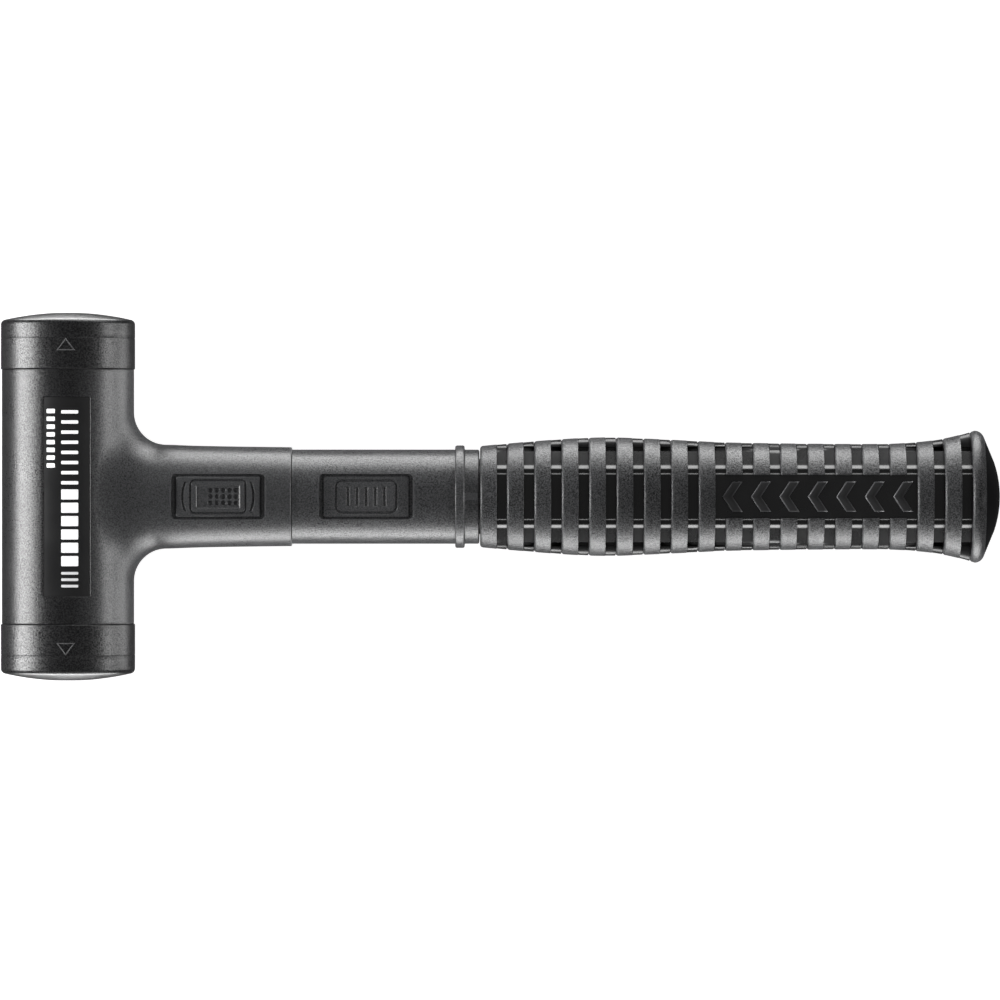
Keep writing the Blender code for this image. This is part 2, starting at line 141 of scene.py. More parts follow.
# Sunk pads: start and end along the handle, half width, groove floor and pad top over the axis
NECK_PAD = (31.2 * MM, 59.2 * MM, 6.9 * MM, 12.2 * MM, 13.1 * MM)
SLEEVE_PAD = (75.1 * MM, 103.25 * MM, 6.9 * MM, 11.55 * MM, 12.1 * MM)
PAD_CORNER = 1.4 * MM
GROOVE_SIDE = 0.62 * MM
GROOVE_END = 1.15 * MM
GROOVE_WALL = (0.30 * MM, 6.0)
PAD_CHAMFER_SLOPE = 1.8
EDGE_SOFTNESS = 0.14 * MM
PAD_REACH = 8.0 * MM
PAD_STEP = 0.15 * MM
PLAIN_STEP = 1.2 * MM
# Outlines on the pads, as half length, half width and corner
DOT_WINDOW = (6.6 * MM, 3.6 * MM, 0.5 * MM)
DOT_FRAME = (8.2 * MM, 4.9 * MM, 1.2 * MM)
BAR_FRAME = (9.0 * MM, 4.8 * MM, 2.0 * MM)
SUNK_BAR = (0.75 * MM, 3.1 * MM, 0.7 * MM)
BRACKET_RADIUS, BRACKET_HALF_WIDTH = 10.6 * MM, 4.4 * MM
DOT_PITCH, DOT_SHIFT, DOT_RADIUS = 1.9 * MM, 1.6 * MM, 0.78 * MM
SUNK_BAR_PITCH = 2.7 * MM
SUNK_WALL = 0.35 * MM

GRIP_ENVELOPE = (
    (123.0, 15.1), (129.0, 15.66), (141.0, 16.7), (153.0, 17.5), (162.0, 17.7), (171.0, 17.4),
    (183.0, 16.85), (195.0, 16.25), (207.0, 16.0), (225.0, 15.8), (245.0, 15.8), (254.0, 16.35),
    (260.0, 17.1), (266.0, 18.4), (270.6, 19.7),
)
FIRST_RIB_END = 128.0 * MM
SECOND_RIB_START = 131.0 * MM
RIB_COUNT = 18
RIB_WIDTH = 4.98 * MM
RIB_PITCH = 8.125 * MM
RIB_CHAMFER = 0.80 * MM
RIB_BACK_CHAMFER = 0.22 * MM
NOSE_ROUNDING = 1.0 * MM
PANEL_FIRST_RIB = 9
PANEL_RIBS = 7
PANEL_HALF_WIDTH = 6.45 * MM
PANEL_EDGE = 0.3 * MM
CORE_HEIGHT = 12.0 * MM
# The core between two ribs, as (distance from the middle, height over the axis) in millimetres
CORE_OUTLINE = (
    (0.0, 12.0), (6.55, 12.0), (6.62, 11.97), (6.86, 11.72), (6.95, 11.48), (7.1, 11.45), (7.95, 11.45),
    (8.1, 11.42), (8.4, 11.22), (9.15, 10.15), (9.32, 9.98), (9.5, 9.85), (13.5, 7.3),
)
FACET_END = 13.5 * MM
CORE_CREASES = (6.45 * MM, 7.1 * MM, 8.2 * MM, 9.35 * MM)
# The side of the core, a valley and a rounded rail, where the grip is slim and where it is fat
RAIL_START = 14.8 * MM
SLIM_RADIUS, FAT_RADIUS = 15.9 * MM, 17.3 * MM
VALLEY_HEIGHTS = ((7.2 * MM, 6.6 * MM), (1.0 * MM, 1.0 * MM))
RAIL_HEIGHTS = (6.4 * MM, 3.0 * MM)
RAIL_DROP = 0.08 * MM
RIM_ROUNDING = 2.8 * MM
RIM_CENTRE_X = 270.6 * MM
POMMEL_DOME_RADIUS = 31.5 * MM
POMMEL_DOME_EDGE = 10.5 * MM
POMMEL_GRAIN_END = 273.5 * MM
CHEVRON_COUNT = 7
CHEVRON_START = 195.0 * MM
CHEVRON_PITCH = 8.45 * MM
CHEVRON_HEIGHT = 1.3 * MM
CHEVRON_SUNK = 0.2 * MM

ROUND_STEPS = 192
SHARP_ANGLE = math.radians(40)


# ---- mesh helpers

class Surface:
    """Points and faces that are joined ring by ring into one closed skin."""

    def __init__(self):
        self.points = []
        self.faces = []
        self.slots = []
        self.slot = 0

    def ring(self, points):
        start = len(self.points)
        self.points.extend(tuple(float(c) for c in p) for p in points)
        return list(range(start, start + len(points)))

    def face(self, corners):
        self.faces.append(tuple(corners))
        self.slots.append(self.slot)

    def join(self, lower, upper, sunk=0):
        """Quads between two closed rings with the same number of points.

        The first and last sunk quads, around the rings' start, get the second material.
        """
        count = len(lower)
        for i in range(count):
            j = (i + 1) % count
            self.face((lower[i], lower[j], upper[j], upper[i]))
            if i < sunk or i >= count - sunk:
                self.slots[-1] = 1

    def join_unequal(self, lower, upper):
        """Triangles between two closed rings around x whose points start at the same angle."""
        def turn(ring):
            yz = np.array([self.points[i][1:] for i in ring])
            angles = np.unwrap(np.arctan2(yz[:, 0], yz[:, 1]))
            share = (angles - angles[0]) / (2 * math.pi)
            return list(np.abs(share)) + [1.0]

        a, b = turn(lower), turn(upper)
        i = j = 0
        while i < len(lower) or j < len(upper):
            low, high = lower[i % len(lower)], upper[j % len(upper)]
            step_lower = j == len(upper) or (i < len(lower) and a[i + 1] <= b[j + 1])
            if step_lower:
                i += 1
                self.face((low, lower[i % len(lower)], high))
            else:
                j += 1
                self.face((low, upper[j % len(upper)], high))

    def fan(self, ring, tip):
        top = self.ring([tip])[0]
        for i, index in enumerate(ring):
            self.face((index, ring[(i + 1) % len(ring)], top))

    def build(self, name, materials):
        mesh = bpy.data.meshes.new(name)
        mesh.from_pydata(self.points, [], self.faces)
        for material in materials:
            mesh.materials.append(material)
        mesh.polygons.foreach_set("material_index", self.slots)
        bm = bmesh.new()
        bm.from_mesh(mesh)
        bmesh.ops.recalc_face_normals(bm, faces=bm.faces)
        bm.to_mesh(mesh)
        bm.free()
        return add_piece(name, mesh)


def add_piece(name, mesh):
    obj = bpy.data.objects.new(name, mesh)
    bpy.context.scene.collection.objects.link(obj)
    obj.location = CROSSING
    return obj


def finish_piece(obj, slot, *nodes):
    """Shade a piece smooth, except at sharp edges, and let it ride on the body."""
    obj.data.shade_smooth()
    obj.data.set_sharp_from_angle(angle=SHARP_ANGLE)
    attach(obj, BODY)
    if nodes:
        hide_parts(*nodes)


def arc(centre, radius, start, end, steps):
    """(radius, distance) points of an arc, by angle in degrees from the distance direction."""
    angles = np.radians(np.linspace(start, end, steps + 1))
    return [(centre[0] + radius * math.sin(a), centre[1] + radius * math.cos(a)) for a in angles]


def turned(name, outline, axis, materials, side=1):
    """A body turned around x or y from (radius, distance) points that start and end on the axis."""
    def place(across, distance, height):
        return (distance, across, height) if axis == "x" else (across, side * distance, height)

    surface = Surface()
    angles = [2 * math.pi * i / ROUND_STEPS for i in range(ROUND_STEPS)]
    rings = []
    for radius, distance in outline[1:-1]:
        points = [place(radius * math.sin(a), distance, radius * math.cos(a)) for a in angles]
        rings.append(surface.ring(points))
    surface.fan(rings[0], place(0, outline[0][1], 0))
    for lower, upper in zip(rings, rings[1:]):
        surface.join(lower, upper)
    surface.fan(rings[-1], place(0, outline[-1][1], 0))
    return surface.build(name, materials)


def rod(radius, start, end):
    """Outline of a plain solid cylinder, for turned."""
    return [(0, start), (radius, start), (radius, end), (0, end)]


def graded(start, stop, coarse, features=(), fine=0.0, reach=0.0):
    """Positions from start to stop, fine apart within reach of a feature and coarse elsewhere."""
    positions = [start]
    while positions[-1] < stop:
        here = positions[-1]
        step = coarse
        if features:
            away = max(min(abs(here - f) for f in features) - reach, 0.0)
            step = min(coarse, fine + 0.5 * away)
        positions.append(here + step)
    spread = (stop - start) / (positions[-1] - start)
    return [start + (p - start) * spread for p in positions]


def smooth_through(stations, x):
    """Read a smooth curve through (x, value) stations, in millimetres, at x in metres."""
    points = [(a * MM, b * MM) for a, b in stations]
    last = len(points) - 1

    def slope(i):
        before, after = points[max(i - 1, 0)], points[min(i + 1, last)]
        return (after[1] - before[1]) / (after[0] - before[0])

    i = max(k for k in range(last) if k == 0 or points[k][0] <= x)
    (x0, y0), (x1, y1) = points[i], points[i + 1]
    t = min(max((x - x0) / (x1 - x0), 0.0), 1.0)
    rise = (2 * t**3 - 3 * t**2 + 1) * y0 + (3 * t**2 - 2 * t**3) * y1
    bend = (t**3 - 2 * t**2 + t) * slope(i) + (t**3 - t**2) * slope(i + 1)
    return rise + bend * (x1 - x0)


def smooth_min(a, b, softness):
    overlap = np.maximum(softness - np.abs(a - b), 0.0) / softness
    return np.minimum(a, b) - overlap**2 * softness / 4


def smooth_max(a, b, softness):
    return -smooth_min(-a, -b, softness)


def rounded_box(x, y, half_x, half_y, corner):
    """Distance to the outline of a rounded rectangle, negative inside."""
    qx = np.abs(x) - half_x + corner
    qy = np.abs(y) - half_y + corner
    outside = np.hypot(np.maximum(qx, 0.0), np.maximum(qy, 0.0))
    return outside + np.minimum(np.maximum(qx, qy), 0.0) - corner


def cut_with(obj, cutter):
    """Cut the cutter out of obj, and remove it."""
    modifier = obj.modifiers.new("cut", "BOOLEAN")
    modifier.operation = "DIFFERENCE"
    modifier.object = cutter
    modifier.solver = "EXACT"
    bpy.context.view_layer.update()
    evaluated = obj.evaluated_get(bpy.context.evaluated_depsgraph_get())
    mesh = bpy.data.meshes.new_from_object(evaluated)
    obj.modifiers.clear()
    obj.data = mesh
    bpy.data.objects.remove(cutter)


# ---- sunk pads on neck and sleeve

def engraved(outline, half_width, depth):
    """Relief of a line engraved along the zero of an outline's distance."""
    return -depth * np.clip(1.0 - (outline / half_width) ** 2, 0.0, 1.0)


def lowered(outline, depth):
    """Relief of an area sunk by depth inside an outline."""
    return -depth * np.clip(-outline / SUNK_WALL, 0.0, 1.0)


def dot_field(x, y):
    """Relief of the neck pad: rows of round holes in a sunk window, between two brackets."""
    relief = lowered(rounded_box(x, y, *DOT_WINDOW), 0.30 * MM)
    brackets = np.hypot(x, y) - BRACKET_RADIUS
    relief = relief + engraved(brackets, 0.40 * MM, 0.5 * MM) * (np.abs(y) < BRACKET_HALF_WIDTH)
    relief = relief + engraved(rounded_box(x, y, *DOT_FRAME), 0.36 * MM, 0.45 * MM)
    column = np.clip(np.round((x - DOT_SHIFT) / DOT_PITCH), -2, 2)
    row = np.clip(np.round(y / DOT_PITCH), -1, 1)
    away = np.hypot(x - DOT_SHIFT - column * DOT_PITCH, y - row * DOT_PITCH)
    return relief - 0.65 * MM * np.clip(1.6 - 1.6 * (away / DOT_RADIUS) ** 2, 0.0, 1.0)


def bar_field(x, y):
    """Relief of the sleeve pad: a row of short sunk bars in a rounded outline."""
    relief = engraved(rounded_box(x, y, *BAR_FRAME), 0.40 * MM, 0.45 * MM)
    column = np.clip(np.round(x / SUNK_BAR_PITCH), -2, 2)
    bar = rounded_box(x - column * SUNK_BAR_PITCH, y, *SUNK_BAR)
    return relief + lowered(bar, 0.45 * MM)


def sunk_pad(outer, x, y, pad, relief):
    """Height over the axis where a flat pad in a groove is sunk into a round surface."""
    start, end, half_width, floor, top = pad
    along, half_length = x - (start + end) / 2, (end - start) / 2
    recess = rounded_box(along, y, half_length, half_width, PAD_CORNER)
    plate = rounded_box(along, y, half_length - GROOVE_END, half_width - GROOVE_SIDE, PAD_CORNER * 0.7)
    foot, slope = GROOVE_WALL
    outer_wall = floor + (recess + foot) * slope
    plate_wall = floor - plate * PAD_CHAMFER_SLOPE
    plate_top = top + relief(along, y)
    bottom = smooth_max(outer_wall, smooth_min(plate_top, plate_wall, EDGE_SOFTNESS), EDGE_SOFTNESS)
    bottom = smooth_max(bottom, np.full_like(outer, floor), EDGE_SOFTNESS)
    return smooth_min(outer, bottom, EDGE_SOFTNESS)


PAD_LINES = graded(-PAD_REACH, PAD_REACH, PAD_STEP)
BACK_STEPS = 120


def padded_ring(radius, x, pad, relief, flat=1.0):
    """A ring around the handle whose front follows the pad."""
    y = np.array(PAD_LINES)
    outer = flat * np.sqrt(radius**2 - y**2)
    z = sunk_pad(outer, x, y, pad, relief)
    edge_angle = math.asin(PAD_REACH / radius)
    middle = len(PAD_LINES) // 2
    front = [(x, yi, zi) for yi, zi in zip(y, z)]
    angles = np.linspace(edge_angle, 2 * math.pi - edge_angle, BACK_STEPS)[1:-1]
    around = [(x, radius * math.sin(a), flat * radius * math.cos(a)) for a in angles]
    return front[middle:] + around + front[:middle]


def pad_stations(pad, start, stop):
    """Places of the rings along the handle, close together over the pad."""
    before = graded(start, pad[0] - FIT, PLAIN_STEP)
    over = graded(pad[0] - FIT, pad[1] + FIT, PAD_STEP)
    after = graded(pad[1] + FIT, stop, PLAIN_STEP)
    return before + over[1:] + after[1:]


# ---- head casing

def barrel_point(angle, y, radius=BARREL_RADIUS):
    """A point of the barrel; angles run from the handle side (+x) to the front (+z)."""
    return radius * math.cos(angle), y, radius * math.sin(angle)


LABEL_FIRST = math.acos(LABEL_HIGH.x / BARREL_RADIUS)
LABEL_LAST = math.acos(LABEL_LOW.x / BARREL_RADIUS)


def label_distance(angle, y):
    """Distance along the barrel's surface to the outline of the label, negative inside."""
    s = (angle - (LABEL_FIRST + LABEL_LAST) / 2) * BARREL_RADIUS
    half = (LABEL_LAST - LABEL_FIRST) / 2 * BARREL_RADIUS
    return float(rounded_box(s, y, half, LABEL_HIGH.y, LABEL_CORNER))


def barrel_radius_at(angle, y):
    away = label_distance(angle, y) / LABEL_WALL
    t = min(max(1.0 - away, 0.0), 1.0)
    return BARREL_RADIUS - LABEL_SINK * t * t * (3 - 2 * t)


def barrel_lines():
    """Angles and y positions of the barrel's grid, and how many angles the patch takes."""
    coarse, fine, reach = (size / BARREL_RADIUS for size in (GRID_STEP, EDGE_STEP, EDGE_REACH))
    patch = graded(-PATCH_HALF_ANGLE, PATCH_HALF_ANGLE, coarse)
    front = graded(PATCH_HALF_ANGLE, FRONT_END_ANGLE, coarse, (LABEL_FIRST, LABEL_LAST), fine, reach)
    back = graded(FRONT_END_ANGLE, 2 * math.pi - PATCH_HALF_ANGLE, coarse)
    angles = patch + front[1:] + back[1:-1]
    outer = graded(PATCH_HALF_WIDTH, BARREL_HALF, GRID_STEP, (LABEL_HIGH.y,), EDGE_STEP, EDGE_REACH)
    inner = graded(-PATCH_HALF_WIDTH, PATCH_HALF_WIDTH, GRID_STEP)
    ys = [-y for y in reversed(outer)] + inner[1:-1] + outer
    return angles, ys, len(patch)


def neck_section(angle):
    """Radius of the neck at its root, which is lower at the front and back than it is wide."""
    low = NECK_RADIUS * NECK_FLATNESS
    return NECK_RADIUS * low / math.hypot(low * math.cos(angle), NECK_RADIUS * math.sin(angle))


def neck_contact(angle, share):
    """The fillet between barrel (share 0) and neck (share 1), at an angle from +y towards +z."""
    fillet = NECK_FILLET + FRONT_FILLET * math.sin(angle) ** 4
    reach_neck, reach_barrel = neck_section(angle) + fillet, BARREL_RADIUS + fillet
    y, z = reach_neck * math.cos(angle), reach_neck * math.sin(angle)
    x = math.sqrt(reach_barrel**2 - z**2)
    to_barrel = Vector((-x / reach_barrel, 0.0, -z / reach_barrel))
    to_neck = Vector((0.0, -math.cos(angle), -math.sin(angle)))
    spread = to_barrel.angle(to_neck)
    ahead = math.sin((1 - share) * spread) * to_barrel + math.sin(share * spread) * to_neck
    return Vector((x, y, z)) + fillet * ahead / math.sin(spread)


def head_casing(materials):
    """Barrel, fillet and neck as one skin, closed at its three ends and then bored out."""
    surface = Surface()
    angles, ys, patch_count = barrel_lines()
    grid = {}
    for j, y in enumerate(ys):
        points = [barrel_point(a, y, barrel_radius_at(a, y)) for a in angles]
        for i, index in enumerate(surface.ring(points)):
            grid[i, j] = index
    count = len(angles)
    low_row = min(j for j, y in enumerate(ys) if y > -PATCH_HALF_WIDTH - 1e-9)
    high_row = max(j for j, y in enumerate(ys) if y < PATCH_HALF_WIDTH + 1e-9)
    for j in range(len(ys) - 1):
        for i in range(count):
            k = (i + 1) % count
            if i < patch_count - 1 and low_row <= j < high_row:
                continue
            surface.face((grid[i, j], grid[k, j], grid[k, j + 1], grid[i, j + 1]))

    rounding = 0.18 * MM
    for row, side in ((0, -1), (len(ys) - 1, 1)):
        edge = [grid[i, row] for i in range(count)]
        for inset, along in ((0.3 * rounding, 0.7 * rounding), (rounding, rounding)):
            y = side * (BARREL_HALF + along - rounding)
            nxt = surface.ring([barrel_point(a, y, BARREL_RADIUS - inset) for a in angles])
            surface.join(edge, nxt)
            edge = nxt
        for index in (grid[i, row] for i in range(count)):
            x, y, z = surface.points[index]
            surface.points[index] = (x, side * (BARREL_HALF - rounding), z)
        surface.face(edge)

    # The patch boundary as a ring that starts at the front and runs towards +y.
    last = patch_count - 1
    middle = min(range(len(ys)), key=lambda j: abs(ys[j]))
    border = [(last, j) for j in range(middle, high_row)]
    border += [(i, high_row) for i in range(last, 0, -1)]
    border += [(0, j) for j in range(high_row, low_row, -1)]
    border += [(i, low_row) for i in range(0, last)]
    border += [(last, j) for j in range(low_row, middle)]
    border_ids = [grid[key] for key in border]
    around = [math.atan2(angles[i] * BARREL_RADIUS, ys[j]) for i, j in border]

    rings = [border_ids]
    contacts = [neck_contact(a, 0.0) for a in around]
    for step in range(1, PATCH_RINGS):
        t = step / PATCH_RINGS
        points = []
        for (i, j), contact in zip(border, contacts):
            angle = (1 - t) * angles[i] + t * math.atan2(contact.z, contact.x)
            points.append(barrel_point(angle, (1 - t) * ys[j] + t * contact.y))
        rings.append(surface.ring(points))
    for step in range(FILLET_RINGS + 1):
        rings.append(surface.ring([neck_contact(a, step / FILLET_RINGS) for a in around]))
    stages = 5
    for step in range(1, stages + 1):
        t = step / stages
        points = []
        for a in around:
            x = (1 - t) * neck_contact(a, 1.0).x + t * NECK_ROUND_START
            radius = neck_section(a)
            points.append((x, radius * math.cos(a), radius * math.sin(a)))
        rings.append(surface.ring(points))
    for lower, upper in zip(rings, rings[1:]):
        surface.join(lower, upper)

    end_rounding = 0.35 * MM
    stations = pad_stations(NECK_PAD, NECK_ROUND_START + 0.2 * MM, NECK_END - end_rounding)
    previous = None
    for x in stations:
        flat = 1 - (1 - NECK_FLATNESS) * (NECK_END - x) / (NECK_END - NECK_ROUND_START)
        ring = surface.ring(padded_ring(smooth_through(NECK_STATIONS, x), x, NECK_PAD, dot_field, flat))
        if previous is None:
            surface.join_unequal(rings[-1], ring)
        else:
            surface.join(previous, ring)
        previous = ring
    end_radius = smooth_through(NECK_STATIONS, NECK_END)
    for radius, x in arc((end_radius - end_rounding, NECK_END - end_rounding), end_rounding, 65, 0, 3):
        ring = surface.ring(padded_ring(radius, x, NECK_PAD, dot_field))
        surface.join(previous, ring)
        previous = ring
    surface.face(previous)
    casing = surface.build("head_casing", materials)

    ends = BARREL_HALF + FIT
    bore = turned("canister_bore", rod(BORE_RADIUS, -ends, ends), "y", [])
    socket_radius, socket_start = SPIGOT_RADIUS + FIT, SLEEVE_START - FIT
    socket = turned(
        "neck_socket",
        [(0, 0), (TUBE_HOLE, 0), (TUBE_HOLE, socket_start), (socket_radius, socket_start),
         (socket_radius, NECK_END + FIT), (0, NECK_END + FIT)],
        "x", [],
    )
    cut_with(casing, socket)
    cut_with(casing, bore)
    finish_piece(casing, "casing_plastic", "head_housing")


# ---- label

def wrapped_plate(name, outline, low_radius, high_radius, material):
    """A thin plate bent around the barrel, from an outline seen from the front."""
    step = 0.5 * MM
    bm = bmesh.new()
    face = bm.faces.new([bm.verts.new((x, y, 0)) for x, y in outline])
    face.normal_update()
    xs = [x for x, _ in outline]
    position = min(xs) + step
    while position < max(xs) - 1e-6:
        geometry = bm.verts[:] + bm.edges[:] + bm.faces[:]
        bmesh.ops.bisect_plane(bm, geom=geometry, plane_co=(position, 0, 0), plane_no=(1, 0, 0))
        position += step
    bottom = bm.faces[:]
    lifted = bmesh.ops.extrude_face_region(bm, geom=bottom)
    top = {v for v in lifted["geom"] if isinstance(v, bmesh.types.BMVert)}
    for vert in bm.verts:
        radius = high_radius if vert in top else low_radius
        height = math.sqrt(max(BARREL_RADIUS**2 - vert.co.x**2, 0.0)) / BARREL_RADIUS
        vert.co = (vert.co.x * radius / BARREL_RADIUS, vert.co.y, height * radius)
    bmesh.ops.recalc_face_normals(bm, faces=bm.faces)
    mesh = bpy.data.meshes.new(name)
    bm.to_mesh(mesh)
    bm.free()
    mesh.materials.append(material)
    return add_piece(name, mesh)


def rounded_rectangle(x0, x1, y0, y1, corner, steps=5):
    points = []
    for cx, cy, start in (
        (x1 - corner, y1 - corner, 0), (x0 + corner, y1 - corner, 90),
        (x0 + corner, y0 + corner, 180), (x1 - corner, y0 + corner, 270),
    ):
        for i in range(steps + 1):
            a = math.radians(start + 90 * i / steps)
            points.append((cx + corner * math.cos(a), cy + corner * math.sin(a)))
    return points


def label_strip(film, inks):
    """The label film and its printed bars."""
    base = BARREL_RADIUS - LABEL_SINK
    top = base + LABEL_LIFT
    outline = rounded_rectangle(
        LABEL_LOW.x + 0.02 * MM, LABEL_HIGH.x - 0.02 * MM, LABEL_LOW.y, LABEL_HIGH.y, LABEL_CORNER)
    strip = wrapped_plate("label_strip", outline, base - 0.05 * MM, top, film)
    finish_piece(strip, "label_film", "head_label")

    number = 0
    for (x0, x1), first, pitch, width, count, ink in LABEL_BARS:
        for i in range(count):
            number += 1
            y = first + i * pitch
            shape = rounded_rectangle(x0, x1, y, y + width, BAR_CORNER, 3)
            name = f"label_bar_{number:02d}"
            bar = wrapped_plate(name, shape, top - LABEL_INK, top + LABEL_INK, inks[ink])
            finish_piece(bar, "label_film")


# ---- strike faces

def strike_face(name, side, node, material, mark_material):
    rounding, groove = 0.42 * MM, 0.16 * MM
    groove_floor = FACE_RADIUS - groove * 0.7
    start = BARREL_HALF + SEAM
    spigot_radius = BORE_RADIUS - 2.7 * MM
    spigot_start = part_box(node)[0].y if side > 0 else -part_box(node)[1].y
    socket_end = CANISTER_HALF.y + FIT
    edge_radius = FACE_RADIUS - FACE_EDGE_ROUNDING
    dome_centre = FACE_EDGE_CENTRE - math.sqrt((DOME_RADIUS - FACE_EDGE_ROUNDING) ** 2 - edge_radius**2)
    dome_angle = math.degrees(math.asin(edge_radius / (DOME_RADIUS - FACE_EDGE_ROUNDING)))
    land_angle = math.degrees(math.asin(LAND_RADIUS / DOME_RADIUS))
    outline = [
        (0, spigot_start), (spigot_radius, spigot_start), (spigot_radius, socket_end),
        (BORE_RADIUS, socket_end), (BORE_RADIUS, start), (FACE_RADIUS - rounding, start),
    ]
    outline += arc((FACE_RADIUS - rounding, start + rounding), rounding, 180, 90, 4)[1:]
    outline += [(FACE_RADIUS, start + 0.5 * (WEAR_LINE - start)), (FACE_RADIUS, WEAR_LINE - groove)]
    outline += [(groove_floor, WEAR_LINE - 0.2 * groove), (groove_floor, WEAR_LINE)]
    outline += [(FACE_RADIUS, WEAR_LINE + groove), (FACE_RADIUS, 0.5 * (WEAR_LINE + FACE_EDGE_CENTRE))]
    outline += arc((edge_radius, FACE_EDGE_CENTRE), FACE_EDGE_ROUNDING, 90, dome_angle, 12)
    outline += arc((0, dome_centre), DOME_RADIUS, dome_angle, land_angle, 16)[1:]
    outline.append((0, outline[-1][1]))
    face = turned(name, outline, "y", [material], side)
    finish_piece(face, "strike_plastic", node)
    wear_mark(f"{name}_mark", side, mark_material)


def wear_mark(name, side, material):
    """A raised triangular outline on the front of a strike face, pointing at the wear line."""
    tip_y, base_y = WEAR_LINE - 0.1 * MM, WEAR_LINE - TRIANGLE_HEIGHT
    corners = [(0.0, tip_y), (TRIANGLE_HALF_WIDTH, base_y), (-TRIANGLE_HALF_WIDTH, base_y)]
    side_length = math.hypot(TRIANGLE_HALF_WIDTH, tip_y - base_y)
    perimeter = 2 * side_length + 2 * TRIANGLE_HALF_WIDTH
    in_radius = 2 * TRIANGLE_HALF_WIDTH * (tip_y - base_y) / perimeter
    in_centre = (0.0, base_y + in_radius)
    surface = Surface()
    divisions = 8
    rings = []
    # Across the line, from its outer to its inner side, and its height over the face in millimetres
    sections = ((0.0, -0.3), (0.12, 0.09), (0.32, 0.18), (0.68, 0.18), (0.88, 0.09), (1.0, -0.3))
    for across, lift in sections:
        shrink = 1 - across * TRIANGLE_LINE / in_radius
        points = []
        for (xa, ya), (xb, yb) in zip(corners, corners[1:] + corners[:1]):
            for i in range(divisions):
                t = i / divisions
                x = in_centre[0] + (xa + (xb - xa) * t - in_centre[0]) * shrink + TRIANGLE_X
                y = in_centre[1] + (ya + (yb - ya) * t - in_centre[1]) * shrink
                z = math.sqrt(FACE_RADIUS**2 - x**2) + lift * MM
                points.append((x, side * y, z))
        rings.append(surface.ring(points))
    for lower, upper in zip(rings, rings[1:] + rings[:1]):
        surface.join(lower, upper)
    mark = surface.build(name, [material])
    finish_piece(mark, "strike_plastic")


# ---- handle sleeve

def handle_sleeve(materials):
    surface = Surface()
    stations = pad_stations(SLEEVE_PAD, NECK_END, COLLAR_START)
    outline = [(SPIGOT_RADIUS, SLEEVE_START), (SPIGOT_RADIUS, NECK_END + 0.1 * MM)]
    outline += [(SLEEVE_RADIUS - 0.1 * MM, NECK_END + 0.1 * MM)]
    outline += [(SLEEVE_RADIUS, max(x, NECK_END + 0.2 * MM)) for x in stations]
    rounding, lip = 0.55 * MM, 0.6 * MM
    outline += arc((COLLAR_RADIUS - rounding, COLLAR_START + rounding), rounding, 180, 90, 5)
    outline += arc((COLLAR_RADIUS - rounding, COLLAR_END - rounding), rounding, 90, 0, 5)
    outline += [(SLEEVE_RADIUS + 0.15 * MM, COLLAR_END), (SLEEVE_RADIUS, COLLAR_END + 0.15 * MM)]
    outline += arc((SLEEVE_RADIUS - lip, SLEEVE_END - lip), lip, 90, 0, 6)
    outline += [(SPIGOT_RADIUS, SLEEVE_END), (SPIGOT_RADIUS, SLEEVE_SPIGOT_END)]
    rings = [surface.ring(padded_ring(radius, x, SLEEVE_PAD, bar_field)) for radius, x in outline]
    for lower, upper in zip(rings, rings[1:]):
        surface.join(lower, upper)
    surface.face(rings[0])
    surface.face(rings[-1])
    sleeve = surface.build("sleeve_shell", materials)
    bore = turned("sleeve_bore", rod(TUBE_HOLE, SLEEVE_START - FIT, SLEEVE_SPIGOT_END + FIT), "x", [])
    cut_with(sleeve, bore)
    finish_piece(sleeve, "sleeve_plastic", "handle_sleeve")


# ---- grip

def core_height(y):
    """Height of the core between two ribs: floor, step, ledge, shoulder and facet."""
    places, heights = zip(*CORE_OUTLINE)
    return np.interp(np.abs(y) / MM, places, heights) * MM


def grip_lines():
    """The lines along the grip, from the middle of the front to the side, as (kind, value)."""
    core = graded(0.0, FACET_END, 0.8 * MM, CORE_CREASES, 0.12 * MM, 0.35 * MM)
    lines = [("core", y) for y in core]
    lines += [("wall", t) for t in (0.12, 0.3, 0.5, 0.7, 0.88)]
    lines += [("web", t) for t in np.linspace(0.0, 1.0, 12)]
    return lines


GRIP_LINES = grip_lines()


